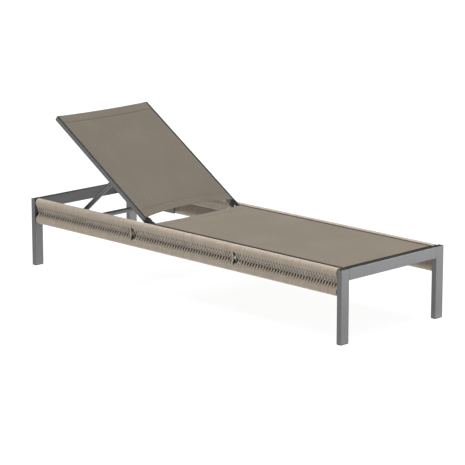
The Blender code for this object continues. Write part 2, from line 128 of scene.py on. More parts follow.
# Slings. A bow is how far back the middle of an end sits from its corners.
CLOTH_THICKNESS = 0.0009
YARN = 0.0018
FIGURE_ACROSS = 0.0184
FIGURE_ALONG = 0.0256
HEM_WIDTH = 0.050
HEM_STEP = 0.0006
HEM_RAMP = 0.0012
HEM_ROWS = (-0.004, -0.0012, -0.0004, 0.0004, 0.0012, 0.004)
END_ROW = 0.0015
SEAM_HALF = 0.0013
SEAT_SAG = 0.0035
BACK_SAG = 0.0045
END_SAG = 0.25
SEAT_BOWS = (0.008, 0.003)
BACK_BOWS = (0.004, 0.024)
SEAT_HEAD_OVERHANG = 0.005
BACK_TOP_OVERHANG = 0.003
BACK_FOOT_OVERHANG = 0.006
BOW_REACH = 0.30
BEND_RADIUS = 0.0024
PAST_RAIL = 0.03
SPLINE_INSET = 0.0115
SPLINE_DEPTH = 0.007
SPLINE_RADIUS = 0.0025
STITCH_LENGTH = 0.0030
STITCH_PITCH = 0.0046
STITCH_RADIUS = 0.00045
STITCH_INSET = 0.004
SHEET_PAST_STITCHES = 0.006

# Collar round the lower end of each back rail
COLLAR_LENGTH = 0.022
COLLAR_WALL = 0.0008
COLLAR_LIP = 0.0035
COLLAR_ROUND = 0.0020
COLLAR_MOUTH_ROUND = 0.0002
COLLAR_EDGE = 0.0004
COLLAR_START_WALL = 0.0001
COLLAR_END_WALL = 0.0003
COLLAR_TAPER = 0.0006

# Bar between the seat sling and the foot rail
TRIM_WIDTH = 0.012
TRIM_GAP = 0.0004
TRIM_TUCK = 0.018
TRIM_HOUSED = 0.008
TRIM_DROP = 0.0040
TRIM_DEPTH = 0.012
TRIM_EDGE = 0.001
TRIM_SOFT = 0.0003
TRIM_END = 0.0008
TRIM_GROOVE_TOP = 0.0015
TRIM_GROOVE_FLOOR = 0.001
TRIM_GROOVE_DEPTH = 0.0008

# Screw that stops each back spline. Its socket's heights are shares of the screw's.
SCREW_RADIUS = 0.0042
SCREW_HEIGHT = 0.0022
SCREW_RIM = 0.0006
SCREW_STEPS = 24
SOCKET_SHARE = 0.42
SOCKET_HEIGHTS = (0.93, 0.3)
SCREW_PAST_CLOTH = 0.010
SCREW_INSET = 0.003
SCREW_SINK = 0.003


# Node materials


def add_node(tree, kind, settings=None, **values):
    """Adds a node. settings are its attributes, and values are its inputs: numbers, colours or sockets."""
    made = tree.nodes.new(kind)
    for key, value in (settings or {}).items():
        setattr(made, key, value)
    for key, value in values.items():
        connect(tree, made.inputs[key.replace("_", " ")], value)
    return made


def connect(tree, socket, value):
    if isinstance(value, bpy.types.NodeSocket):
        tree.links.new(value, socket)
    else:
        socket.default_value = value


def calculate(tree, operation, first, second=0.0, third=0.0):
    made = tree.nodes.new("ShaderNodeMath")
    made.operation = operation
    for socket, value in zip(made.inputs, (first, second, third)):
        connect(tree, socket, value)
    return made.outputs[0]


def noise(tree, vector, scale, detail):
    values = {"Vector": vector, "Scale": scale, "Detail": detail}
    return add_node(tree, "ShaderNodeTexNoise", **values).outputs["Fac"]


def between(tree, factor, low, high):
    """Maps 0..1 to low..high."""
    made = tree.nodes.new("ShaderNodeMapRange")
    connect(tree, made.inputs["Value"], factor)
    made.inputs["To Min"].default_value = low
    made.inputs["To Max"].default_value = high
    return made.outputs[0]


def blend_colours(tree, factor, first, second):
    made = tree.nodes.new("ShaderNodeMix")
    made.data_type = "RGBA"
    connect(tree, made.inputs[0], factor)
    for socket, value in ((made.inputs[6], first), (made.inputs[7], second)):
        colour = value if isinstance(value, bpy.types.NodeSocket) else (*value, 1.0)
        connect(tree, socket, colour)
    return made.outputs[2]


def blend_numbers(tree, factor, first, second):
    made = add_node(tree, "ShaderNodeMix", {"data_type": "FLOAT"})
    for socket, value in ((made.inputs[0], factor), (made.inputs[2], first), (made.inputs[3], second)):
        connect(tree, socket, value)
    return made.outputs[0]


def start_material(name):
    """A material with its node tree, its shader and coordinates in metres."""
    made = bpy.data.materials.new(name)
    made.use_nodes = True
    tree = made.node_tree
    place = tree.nodes.new("ShaderNodeTexCoord").outputs["Object"]
    return made, tree, tree.nodes["Principled BSDF"], place


def attribute(tree, name):
    return add_node(tree, "ShaderNodeAttribute", {"attribute_name": name}).outputs["Fac"]


def bump(tree, shader, height, strength, distance):
    values = {"Height": height, "Strength": strength, "Distance": distance}
    normal = add_node(tree, "ShaderNodeBump", **values).outputs["Normal"]
    tree.links.new(normal, shader.inputs["Normal"])


def powder_coat():
    """Satin grey powder coat: orange peel, slight blotches and dust low on the legs."""
    made, tree, shader, place = start_material("satin_powder_coat")
    blotch = noise(tree, place, scale=7.0, detail=3.0)
    speck = noise(tree, place, scale=1400.0, detail=1.0)
    colour = blend_colours(tree, blotch, *COAT_TONES)
    fleck = calculate(tree, "GREATER_THAN", speck, FLECK_LEVEL)
    colour = blend_colours(tree, calculate(tree, "MULTIPLY", fleck, FLECK_STRENGTH), colour, COAT_FLECK)
    height = add_node(tree, "ShaderNodeSeparateXYZ", Vector=place).outputs["Z"]
    low = calculate(tree, "SUBTRACT", 1.0, calculate(tree, "DIVIDE", height, DUST_HEIGHT))
    dust = calculate(tree, "MULTIPLY", noise(tree, place, scale=60.0, detail=4.0), low)
    dust = calculate(tree, "MULTIPLY", calculate(tree, "MAXIMUM", dust, 0.0), DUST_STRENGTH)
    colour = blend_colours(tree, dust, colour, DUST)
    tree.links.new(colour, shader.inputs["Base Color"])
    shader.inputs["Metallic"].default_value = 0.85
    tree.links.new(between(tree, blotch, low=0.36, high=0.46), shader.inputs["Roughness"])
    bump(tree, shader, noise(tree, place, scale=650.0, detail=2.0), strength=0.25, distance=0.0002)
    return made


def nylon():
    """Black moulded nylon with a fine spark-eroded grain."""
    made, tree, shader, place = start_material("black_moulded_nylon")
    tone = noise(tree, place, scale=90.0, detail=3.0)
    tree.links.new(blend_colours(tree, tone, *NYLON_TONES), shader.inputs["Base Color"])
    tree.links.new(between(tree, tone, low=0.42, high=0.58), shader.inputs["Roughness"])
    bump(tree, shader, noise(tree, place, scale=1800.0, detail=2.0), strength=0.35, distance=0.0002)
    return made


def brushed_steel():
    made, tree, shader, place = start_material("brushed_stainless")
    grain = add_node(tree, "ShaderNodeMapping", Vector=place)
    grain.inputs["Scale"].default_value = (250.0, 9000.0, 250.0)
    streak = noise(tree, grain.outputs["Vector"], scale=1.0, detail=2.0)
    tree.links.new(blend_colours(tree, streak, *STEEL_TONES), shader.inputs["Base Color"])
    shader.inputs["Metallic"].default_value = 1.0
    tree.links.new(between(tree, streak, low=0.22, high=0.38), shader.inputs["Roughness"])
    bump(tree, shader, streak, strength=0.15, distance=0.0001)
    return made


def cord_rope():
    """Beige braided cord: two sets of yarns wind round each cord, and each cord has its own shade of colour.
    Painted shade darkens the braid's grooves and, on cords inside the roll, the side facing the cavity.
    """
    made, tree, shader, place = start_material("beige_braided_rope")
    along = add_node(tree, "ShaderNodeUVMap", {"uv_map": "cord"})
    split = add_node(tree, "ShaderNodeSeparateXYZ", Vector=along.outputs["UV"])
    turns = calculate(tree, "MULTIPLY", split.outputs["X"], 2 * math.pi / BRAID_LENGTH)
    around = calculate(tree, "MULTIPLY", split.outputs["Y"], 4 * math.pi)
    one = calculate(tree, "SINE", calculate(tree, "ADD", turns, around))
    other = calculate(tree, "SINE", calculate(tree, "SUBTRACT", turns, around))
    braid = calculate(tree, "MAXIMUM", one, other)
    light = blend_colours(tree, attribute(tree, "shade"), *CORD_TONES)
    # Painted shade in the grooves between the braid's yarns
    groove = calculate(tree, "MAXIMUM", between(tree, braid, low=0.45, high=0.0), 0.0)
    colour = blend_colours(tree, groove, light, CORD_GROOVE_SHADE)
    stain = calculate(tree, "MULTIPLY", noise(tree, place, scale=14.0, detail=3.0), STAIN_STRENGTH)
    colour = blend_colours(tree, stain, colour, CORD_STAIN)
    # Painted shade on the inner cords' side that faces the cavity inside the roll
    colour = blend_colours(tree, attribute(tree, "cavity_shade"), colour, CORD_CAVITY_SHADE)
    tree.links.new(colour, shader.inputs["Base Color"])
    shader.inputs["Roughness"].default_value = 0.78
    shader.inputs["Sheen Weight"].default_value = 0.12
    fibre = calculate(tree, "MULTIPLY", noise(tree, place, scale=2600.0, detail=2.0), FIBRE_STRENGTH)
    bump(tree, shader, calculate(tree, "ADD", braid, fibre), strength=0.5, distance=0.00025)
    return made


def sling_cloth(name, tones, figure_strength, seam_and_shade_strength):
    """Taupe coated mesh cloth: plain weave of flat yarns, with a faint woven diagonal figure, painted shade in the
    gaps between yarns and a darker band at each hem that is a weld line with painted shade.
    """
    made, tree, shader, place = start_material(name)
    sheet = add_node(tree, "ShaderNodeUVMap", {"uv_map": "sheet"})
    split = add_node(tree, "ShaderNodeSeparateXYZ", Vector=sheet.outputs["UV"])
    crown = plain_weave(tree, split)
    across = calculate(tree, "MULTIPLY", split.outputs["X"], 2 * math.pi / FIGURE_ACROSS)
    along = calculate(tree, "MULTIPLY", split.outputs["Y"], 2 * math.pi / FIGURE_ALONG)
    figure = calculate(tree, "SINE", calculate(tree, "SUBTRACT", across, along))
    figure = calculate(tree, "MULTIPLY", figure, figure_strength)
    cloud = calculate(tree, "MULTIPLY", noise(tree, place, scale=5.0, detail=4.0), WEAVE_TONE_STRENGTH)
    tone = calculate(tree, "ADD", calculate(tree, "ADD", cloud, figure), WEAVE_TONE_LEVEL)
    # Painted shade in the gaps between yarns
    gap = calculate(tree, "POWER", calculate(tree, "SUBTRACT", 1.0, crown), 2.0)
    gap = calculate(tree, "MULTIPLY", gap, WEAVE_GAP_SHADE_STRENGTH)
    colour = blend_colours(tree, gap, blend_colours(tree, tone, *tones), CLOTH_GAP_SHADE)
    # Darker band at each hem's edge: a weld line with painted shade of the hem's step
    seam_and_shade = calculate(tree, "MULTIPLY", attribute(tree, "seam_and_shade"), seam_and_shade_strength)
    colour = blend_colours(tree, seam_and_shade, colour, CLOTH_SEAM_AND_SHADE)
    tree.links.new(colour, shader.inputs["Base Color"])
    tree.links.new(between(tree, crown, low=0.80, high=0.58), shader.inputs["Roughness"])
    shader.inputs["Sheen Weight"].default_value = 0.10
    bump(tree, shader, crown, strength=0.45, distance=0.0003)
    return made


def plain_weave(tree, split):
    """Height of a plain weave, 1 on the crown of a yarn and 0 between two."""
    across = calculate(tree, "MULTIPLY", split.outputs["X"], math.pi / YARN)
    along = calculate(tree, "MULTIPLY", split.outputs["Y"], math.pi / YARN)
    warp = calculate(tree, "ABSOLUTE", calculate(tree, "SINE", across))
    weft = calculate(tree, "ABSOLUTE", calculate(tree, "SINE", along))
    over = calculate(tree, "MULTIPLY", calculate(tree, "COSINE", across), calculate(tree, "COSINE", along))
    return blend_numbers(tree, calculate(tree, "GREATER_THAN", over, 0.0), warp, weft)


def thread():
    made, tree, shader, place = start_material("sewing_thread")
    tone = noise(tree, place, scale=900.0, detail=2.0)
    tree.links.new(blend_colours(tree, tone, *THREAD_TONES), shader.inputs["Base Color"])
    shader.inputs["Roughness"].default_value = 0.7
    bump(tree, shader, tone, strength=0.3, distance=0.0001)
    return made


def floor_material():
    made, tree, shader, place = start_material("pale_floor")
    cloud = noise(tree, place, scale=0.6, detail=2.0)
    tree.links.new(blend_colours(tree, cloud, *FLOOR_TONES), shader.inputs["Base Color"])
    shader.inputs["Roughness"].default_value = 0.9
    shader.inputs["Emission Color"].default_value = WHITE
    shader.inputs["Emission Strength"].default_value = FLOOR_GLOW
    return made


# Meshes


def add_object(name, mesh, material):
    mesh.materials.append(material)
    made = bpy.data.objects.new(name, mesh)
    bpy.context.scene.collection.objects.link(made)
    return made


def make_object(name, points, faces, material, smooth_angle=40):
    mesh = bpy.data.meshes.new(name)
    mesh.from_pydata(points, [], faces)
    mesh.validate()
    mesh.shade_smooth()
    if smooth_angle:
        mesh.set_sharp_from_angle(angle=math.radians(smooth_angle))
    return add_object(name, mesh, material)


def finish_bmesh(name, bm, material, matrix):
    bmesh.ops.recalc_face_normals(bm, faces=bm.faces)
    mesh = bpy.data.meshes.new(name)
    bm.to_mesh(mesh)
    bm.free()
    mesh.shade_smooth()
    mesh.transform(matrix)
    return add_object(name, mesh, material)


def join_rings(bm, rings):
    """Closes a bmesh tube through its rings, with a face at each end."""
    count = len(rings[0])
    for first, second in zip(rings, rings[1:]):
        for step in range(count):
            after = (step + 1) % count
            bm.faces.new((first[step], first[after], second[after], second[step]))
    bm.faces.new(rings[0][::-1])
    bm.faces.new(rings[-1])


def ring_faces(rings, count):
    """Quads between rings of count points each."""
    return [
        (row * count + at, row * count + (at + 1) % count,
         (row + 1) * count + (at + 1) % count, (row + 1) * count + at)
        for row in range(rings - 1) for at in range(count)
    ]


def set_uv(mesh, layer, corners):
    """Writes one (u, v) pair for each face corner."""
    made = mesh.uv_layers.new(name=layer)
    made.data.foreach_set("uv", np.asarray(corners, np.float32).ravel())


def set_attribute(mesh, name, values):
    """Writes one number for each vertex."""
    made = mesh.attributes.new(name, "FLOAT", "POINT")
    made.data.foreach_set("value", np.asarray(values, np.float32))


def smoothstep(value):
    value = np.clip(value, 0.0, 1.0)
    return value * value * (3 - 2 * value)


# Rope


def arc_points(centre, radius, start, end, steps):
    """Points on an arc in the (outward, up) plane, from start to end radians, both included."""
    angles = np.linspace(start, end, steps + 1)
    return np.stack([centre[0] + radius * np.cos(angles), centre[1] + radius * np.sin(angles)], 1)


def line_points(start, end, shares):
    shares = np.asarray(shares)[:, None]
    return np.asarray(start) * (1 - shares) + np.asarray(end) * shares


def figure_eight(radius, upper, lower):
    """A closed path round both tubes that crosses between them.

    Gives its points and, for each, how close it is to the crossing and which pass it is on: 1 on the way
    down from the outside of the upper tube, -1 on the way back up from the outside of the lower one, or 0.
    """
    slant = math.asin(2 * radius / (upper[1] - lower[1]))
    half = math.pi / 2
    first = arc_points(upper, radius, half, -slant, HALF_TURN_STEPS)
    bottom = arc_points(lower, radius, math.pi - slant, 2 * math.pi + slant, 2 * HALF_TURN_STEPS)
    last = arc_points(upper, radius, math.pi + slant, half, HALF_TURN_STEPS)[:-1]
    down = line_points(first[-1], bottom[0], PASS_STEPS)
    up = line_points(bottom[-1], last[0], PASS_STEPS)
    points = np.concatenate([first, down, bottom, up, last])
    way = np.zeros(len(points))
    way[len(first):len(first) + len(down)] = 1
    way[len(points) - len(last) - len(up):len(points) - len(last)] = -1
    away = points - (np.asarray(upper) + np.asarray(lower)) / 2
    return points, closeness(away) * np.abs(way), way


def closeness(away):
    """1 where a bundle is still gathered at the crossing, 0 where its cords have spread."""
    outer = away[:, :1] > 0
    upper_fan = np.where(outer, UPPER_OUTER_FAN, UPPER_INNER_FAN)
    lower_fan = np.where(outer, LOWER_OUTER_FAN, LOWER_INNER_FAN)
    fan = np.where(away[:, 1:] > 0, upper_fan, lower_fan)
    distance = np.linalg.norm(away, axis=1)
    return np.clip((fan[:, 1] - distance) / (fan[:, 1] - fan[:, 0]), 0, 1)


def racetrack(radius, upper, lower):
    """A closed path that goes straight down outside both tubes and straight up inside them."""
    top = arc_points(upper, radius, math.pi, 0, 2 * HALF_TURN_STEPS)
    bottom = arc_points(lower, radius, 0, -math.pi, 2 * HALF_TURN_STEPS)
    down = line_points(top[-1], bottom[0], TIE_STEPS)
    up = line_points(bottom[-1], top[0], TIE_STEPS)
    return np.concatenate([top, down, bottom, up])


def wrap(radius, centre, away):
    """An open path round one tube that stops either side of the post below it (away -1) or above it (1)."""
    post_low, post_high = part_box("head_post_left")
    reach = (post_high.y - post_low.y) / 2 + WRAP_END_GAP + CORD_THICKNESS / 2
    stop = math.asin(reach / radius)
    post_at = away * math.pi / 2
    return arc_points(centre, radius, post_at + stop, post_at + 2 * math.pi - stop, 3 * HALF_TURN_STEPS)


def sweep_cord(path, along_x, widths, thicknesses, closed=True):
    """Rings round a path in the (outward, up) plane, displaced along X: (rings, sides, 3)."""
    ahead = np.roll(path, -1, axis=0) - np.roll(path, 1, axis=0)
    if not closed:
        ahead[0] = path[1] - path[0]
        ahead[-1] = path[-1] - path[-2]
    ahead /= np.linalg.norm(ahead, axis=1)[:, None]
    normal = np.stack([-ahead[:, 1], ahead[:, 0]], 1)
    angles = np.arange(CORD_SIDES) * 2 * math.pi / CORD_SIDES
    side = np.outer(widths / 2, np.cos(angles))
    lift = np.outer(thicknesses / 2, np.sin(angles))
    x = along_x[:, None] + side
    outward = path[:, :1] + lift * normal[:, :1]
    up = path[:, 1:] + lift * normal[:, 1:]
    return np.stack([x, outward, up], 2)


def tube_faces(rings, sides, closed):
    """Quads of a tube, and each corner's (ring, side) for its texture coordinates."""
    ring, side = np.meshgrid(np.arange(rings if closed else rings - 1), np.arange(sides), indexing="ij")
    ring = ring.ravel()
    side = side.ravel()
    corners = np.stack([
        np.stack([ring, side], 1),
        np.stack([ring + 1, side], 1),
        np.stack([ring + 1, side + 1], 1),
        np.stack([ring, side + 1], 1),
    ], 1)
    if not closed:
        corners = np.concatenate([corners, end_caps(rings - 1)])
    faces = (corners[..., 0] % rings) * sides + corners[..., 1] % sides
    return faces, corners


def end_caps(last):
    """Two quads that close the six-sided section at each end of an open tube."""
    halves = np.array([[0, 1, 2, 3], [0, 3, 4, 5]])
    first = np.stack([np.zeros_like(halves), halves], 2)
    turned = halves[:, ::-1]
    return np.concatenate([first, np.stack([np.full_like(turned, last), turned], 2)])


class Tubes:
    """The pair of side tubes that the rope goes round, on one side of the chaise."""

    def __init__(self, side):
        self.side = side
        self.label = "left" if side > 0 else "right"
        centres = {}
        for height in ("upper", "lower"):
            low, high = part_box(f"{height}_side_tube_{self.label}")
            centres[height] = (low + high) / 2
        self.radius = (high.z - low.z) / 2 + CORD_CLEARANCE + CORD_THICKNESS / 2
        self.upper = (0.0, centres["upper"].z)
        self.lower = (0.0, centres["lower"].z)
        self.middle_y = centres["upper"].y


def wound_cords(tubes, low_x, high_x, draw):
    """Cords in a figure of eight, bunched where they cross so that the weave opens into small holes.

    Each cord is its path, its rings, its shade of colour and how much painted shade each ring gets on its side
    facing the cavity inside the roll.
    """
    bundles = round((high_x - low_x) / (CORD_PITCH * CORDS_PER_BUNDLE))
    pitch = (high_x - low_x) / (bundles * CORDS_PER_BUNDLE)
    path, squeeze, way = figure_eight(tubes.radius, tubes.upper, tubes.lower)
    # Painted shade on the passes inside the roll
    inside = smoothstep(-path[:, 0] / tubes.radius / CAVITY_SHADE_RAMP) * np.abs(way)
    cavity_shade = inside * np.where(way > 0, LOWER_CAVITY_SHADE, UPPER_CAVITY_SHADE)
    share = np.where(way > 0, DOWN_SHARE, UP_SHARE)
    cords = []
    for index in range(bundles * CORDS_PER_BUNDLE):
        bundle, member = divmod(index, CORDS_PER_BUNDLE)
        start = low_x + bundle * CORDS_PER_BUNDLE * pitch
        on_roll = start + (member + 0.5) * pitch + draw.uniform(-1, 1) * CORD_JITTER
        centre = start + share * CORDS_PER_BUNDLE * pitch
        at_waist = centre + (member + 0.5 - CORDS_PER_BUNDLE / 2) * pitch * WAIST_SHARE
        x = on_roll + (at_waist - on_roll) * squeeze
        fat = draw.uniform(*CORD_FATNESS)
        widths = pitch * (1 - squeeze * (1 - WAIST_SHARE)) * fat
        thicknesses = (CORD_THICKNESS + (WAIST_THICKNESS - CORD_THICKNESS) * squeeze) * fat
        cords.append((path, sweep_cord(path, x, widths, thicknesses), draw.uniform(0, 1), cavity_shade))
    return cords


def post_cords(tubes, high_x, post_end, draw):
    """Straight tie cords beside a post, then cords that wrap each tube alone as far as the post's end."""
    cords = []
    path = racetrack(tubes.radius, tubes.upper, tubes.lower)
    flat = np.ones(len(path))
    for index in range(TIE_CORDS):
        x = high_x - (index + 0.5) * CORD_PITCH
        swept = sweep_cord(path, x * flat, CORD_PITCH * flat, CORD_THICKNESS * flat)
        cords.append((path, swept, draw.uniform(*TIE_SHADES), flat * 0))
    count = round((post_end - high_x) / CORD_PITCH)
    pitch = (post_end - high_x) / count
    for index in range(count):
        x = high_x + (index + 0.5) * pitch
        for centre, away in ((tubes.upper, -1), (tubes.lower, 1)):
            path = wrap(tubes.radius, centre, away)
            flat = np.ones(len(path))
            swept = sweep_cord(path, x * flat, pitch * flat, CORD_THICKNESS * flat, closed=False)
            cords.append((path, swept, draw.uniform(0, 1), None))
    return cords


def cords_object(name, tubes, cords, material):
    """One object from all the cords of a panel. A cord whose painted cavity shade is None has two capped ends."""
    points, faces, uvs, shades, cavity_shades = [], [], [], [], []
    count = 0
    for path, swept, shade, cavity_shade in cords:
        cord_faces, corners = tube_faces(len(path), CORD_SIDES, cavity_shade is not None)
        steps = np.linalg.norm(np.roll(path, -1, axis=0) - path, axis=1)
        lengths = np.concatenate([[0.0], np.cumsum(steps)])
        flat = swept.reshape(-1, 3)
        points.append(np.stack([flat[:, 0], tubes.middle_y + tubes.side * flat[:, 1], flat[:, 2]], 1))
        faces.append(cord_faces + count)
        uvs.append(np.stack([lengths[corners[..., 0]], corners[..., 1] / CORD_SIDES], 2))
        shades.append(np.full(len(flat), shade))
        # Painted shade only on each ring's side that faces the cavity inside the roll
        outward = (swept[:, :, 1] - path[:, :1]) / CORD_THICKNESS
        facing = smoothstep(outward * FACING_SLOPE + FACING_LEVEL)
        cavity_shades.append(np.zeros(len(flat)) if cavity_shade is None else (cavity_shade[:, None] * facing).ravel())
        count += len(flat)
    faces = np.concatenate(faces)
    uvs = np.concatenate(uvs)
    if tubes.side > 0:
        faces = faces[:, ::-1]
        uvs = uvs[:, ::-1]
    made = make_object(name, np.concatenate(points).tolist(), faces.tolist(), material, smooth_angle=0)
    set_uv(made.data, "cord", uvs)
    set_attribute(made.data, "shade", np.concatenate(shades))
    set_attribute(made.data, "cavity_shade", np.concatenate(cavity_shades))
    return made


def wind_ropes(material):
    draw = np.random.RandomState(11)
    panels = (("head", "middle"), ("middle", "foot"), ("foot", None))
    for side in SIDES.values():
        tubes = Tubes(side)
        for place, after in panels:
            node = f"{place}_rope_{tubes.label}"
            low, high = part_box(node)
            if after:
                cords = wound_cords(tubes, low.x, high.x - TIE_CORDS * CORD_PITCH, draw)
                post_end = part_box(f"{after}_rope_{tubes.label}")[0].x
                cords += post_cords(tubes, high.x, post_end, draw)
            else:
                cords = wound_cords(tubes, low.x, high.x, draw)
            made = cords_object(f"rope_weave_{place}_{tubes.label}", tubes, cords, material)
            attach(made, "frame")
            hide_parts(node)


# Slings


class Sling:
    """A sling stretched between two rails: its place, its bowed ends and its sag, in a frame of its own.

    rail is the left rail's outer top corner, span is where the sling starts and ends at the rails, and
    matrix takes the sling's frame to the model's.
    """

    def __init__(self, rail, top, half_width, span, bows, sag, matrix):
        self.rail = rail
        self.top = top
        self.stitched = half_width - STITCH_INSET
        self.span = span
        self.bows = bows
        self.sag = sag
        self.matrix = matrix

    def shift(self, at):
        """How far along X the middle sits from the edges, at one place along the sling."""
        near_start = max(0.0, 1 - (at - self.span[0]) / BOW_REACH)
        near_end = max(0.0, 1 - (self.span[1] - at) / BOW_REACH)
        return self.bows[0] * near_start - self.bows[1] * near_end

    def sunk(self, at):
        """How far the middle sags at one place along the sling. Its hemmed ends are tight."""
        part = (at - self.span[0]) / (self.span[1] - self.span[0])
        return self.sag * (END_SAG + (1 - END_SAG) * math.sin(math.pi * part))

    def hem_share(self, at):
        """1 on a doubled hem, 0 on the single cloth."""
        edge = min(at - self.span[0], self.span[1] - at)
        return float(smoothstep((HEM_WIDTH + HEM_RAMP / 2 - edge) / HEM_RAMP))

    def hem_edges(self):
        return (self.span[0] + HEM_WIDTH, self.span[1] - HEM_WIDTH)

    def rows(self):
        """Places along the sling, close together at its ends and beside each hem's edge."""
        start, end = self.span
        rows = list(np.linspace(start, end, 40))
        for edge in self.hem_edges():
            rows += [edge + step for step in HEM_ROWS]
        rows += [start + END_ROW, end - END_ROW]
        return sorted(rows)

    def section(self):
        """Profile across the sling, from one spline groove over the cloth to the other: (y, z)."""
        half = edge_profile(self.rail, self.top)
        return [(-y, z) for y, z in half] + [(y, z) for y, z in reversed(half[:-1])]


def edge_profile(rail, top):
    """Half of a sling's section, from its edge round the spline in the groove to the middle: (y, z)."""
    around = SPLINE_RADIUS + CLOTH_THICKNESS / 2
    level = top - CLOTH_THICKNESS / 2
    points = []
    for angle in np.radians(np.linspace(20, -180, 9)):
        up = rail.z - SPLINE_DEPTH + around * math.sin(angle)
        points.append((SPLINE_INSET + around * math.cos(angle), up))
    bend_at = SPLINE_INSET - around + BEND_RADIUS
    for angle in np.radians(np.linspace(180, 90, 5)):
        up = level - BEND_RADIUS + BEND_RADIUS * math.sin(angle)
        points.append((bend_at + BEND_RADIUS * math.cos(angle), up))
    over_rail = np.linspace(points[-1][0], PAST_RAIL, 4)[1:]
    open_cloth = np.linspace(PAST_RAIL, rail.y, 14)[1:]
    points += [(inset, level) for inset in np.concatenate([over_rail, open_cloth])]
    return [(rail.y - inset, z) for inset, z in points]


def sling_sheet(name, node, sling, material):
    """The sling's cloth: sides that run round the splines, ends that bow inward and doubled hems."""
    section = sling.section()
    y = np.array([point[0] for point in section])
    z = np.array([point[1] for point in section])
    belly = 1 - (y / np.abs(y).max()) ** 2
    rows = sling.rows()
    points = np.zeros((len(rows), len(section), 3))
    for row, at in enumerate(rows):
        points[row, :, 0] = at + sling.shift(at) * belly
        points[row, :, 1] = y
        points[row, :, 2] = z - sling.sunk(at) * belly ** 1.5 + HEM_STEP * sling.hem_share(at)
    across = np.concatenate([[0.0], np.cumsum(np.hypot(np.diff(y), np.diff(z)))])
    columns = len(section)
    faces, uvs = [], []
    for row in range(len(rows) - 1):
        for column in range(columns - 1):
            corners = [(row, column), (row + 1, column), (row + 1, column + 1), (row, column + 1)]
            faces.append([r * columns + c for r, c in corners])
            uvs.append([(across[c], rows[r]) for r, c in corners])
    made = make_object(name, points.reshape(-1, 3).tolist(), faces, material, smooth_angle=60)
    set_uv(made.data, "sheet", uvs)
    # Rows beside each hem's edge carry the darker band: a weld line with painted shade
    seams = [min(abs(at - edge) for edge in sling.hem_edges()) < SEAM_HALF for at in rows]
    set_attribute(made.data, "seam_and_shade", np.repeat(seams, columns))
    made.data.transform(sling.matrix)
    thick = made.modifiers.new("thickness", "SOLIDIFY")
    thick.thickness = CLOTH_THICKNESS
    thick.offset = 0.0
    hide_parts(node)
    return made


def stitch(bm, centre):
    """A short thread across the sling, narrow where it enters the cloth."""
    rings = []
    for along, size in ((-0.5, 0.35), (-0.3, 1.0), (0.3, 1.0), (0.5, 0.35)):
        ring = []
        for corner in range(6):
            angle = corner * math.pi / 3
            offset = Vector((math.cos(angle), 0, math.sin(angle))) * STITCH_RADIUS * size
            ring.append(bm.verts.new(centre + offset + Vector((0, along * STITCH_LENGTH, 0))))
        rings.append(ring)
    join_rings(bm, rings)


def stitches(name, sling, material):
    """A row of short stitches just inside the edge of each hem."""
    bm = bmesh.new()
    near = HEM_WIDTH - STITCH_INSET
    count = int(2 * sling.stitched / STITCH_PITCH)
    for at in (sling.span[0] + near, sling.span[1] - near):
        for index in range(count):
            y = (index + 0.5 - count / 2) * STITCH_PITCH
            belly = 1 - (y / (sling.stitched + SHEET_PAST_STITCHES)) ** 2
            z = sling.top - sling.sunk(at) * belly ** 1.5 + HEM_STEP
            stitch(bm, Vector((at + sling.shift(at) * belly, y, z)))
    made = finish_bmesh(name, bm, material, sling.matrix)
    return made


def span_in(node, matrix):
    """Lowest and highest corner of a CAD node in a tilted frame."""
    turned = matrix.inverted()
    corners = np.array([turned @ vertex.co for vertex in frame["nodes"][node].data.vertices])
    return Vector(corners.min(0)), Vector(corners.max(0))


def back_frame():
    """Frame at the back's hinge, its -X along the back and +Z off its face."""
    joint = next(item for item in frame["joints"] if item["name"] == "backrest_hinge")
    angle = math.radians(-joint["range_deg"][0])
    return Matrix.Translation(joint["pos_m"]) @ Matrix.Rotation(angle, 4, "Y")


def seat_cloth(cloth, sewing):
    low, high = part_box("seat_sling")
    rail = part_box("seat_rail_left")[1]
    span = (low.x - SEAT_HEAD_OVERHANG, high.x - TRIM_WIDTH)
    sling = Sling(rail, high.z, high.y, span, SEAT_BOWS, SEAT_SAG, Matrix.Identity(4))
    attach(sling_sheet("seat_sling_cloth", "seat_sling", sling, cloth), "frame")
    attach(stitches("seat_sling_stitches", sling, sewing), "frame")


def back_cloth(cloth, sewing, black):
    tilted = back_frame()
    low, high = span_in("back_sling", tilted)
    rail = span_in("back_rail_left", tilted)[1]
    span = (low.x - BACK_TOP_OVERHANG, high.x + BACK_FOOT_OVERHANG)
    sling = Sling(rail, high.z, high.y, span, BACK_BOWS, BACK_SAG, tilted)
    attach(sling_sheet("back_sling_cloth", "back_sling", sling, cloth), "backrest")
    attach(stitches("back_sling_stitches", sling, sewing), "backrest")
    for label, side in SIDES.items():
        y = side * (rail.y - SPLINE_INSET - SCREW_INSET)
        centre = Vector((span[1] + SCREW_PAST_CLOTH, y, rail.z - SCREW_SINK))
        black_fitting(screw(f"spline_screw_{label}", centre, tilted, black), "backrest")


# Small black fittings


def black_fitting(made, body):
    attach(made, body)


def screw(name, centre, matrix, material):
    """A button-head screw with a hexagon socket, its head facing local +Z."""
    profile = [(SCREW_RADIUS, 0.0), (SCREW_RADIUS, SCREW_RIM)]
    for angle in np.radians(np.linspace(15, 62, 5)):
        height = SCREW_RIM + (SCREW_HEIGHT - SCREW_RIM) * math.sin(angle)
        profile.append((SCREW_RADIUS * math.cos(angle), height))
    bm = bmesh.new()
    rings = [screw_ring(bm, radius, height) for radius, height in profile]
    for share in SOCKET_HEIGHTS:
        rings.append(screw_ring(bm, SCREW_RADIUS * SOCKET_SHARE, SCREW_HEIGHT * share, hexagon=True))
    join_rings(bm, rings)
    made = finish_bmesh(name, bm, material, matrix @ Matrix.Translation(centre))
    made.data.set_sharp_from_angle(angle=math.radians(35))
    return made


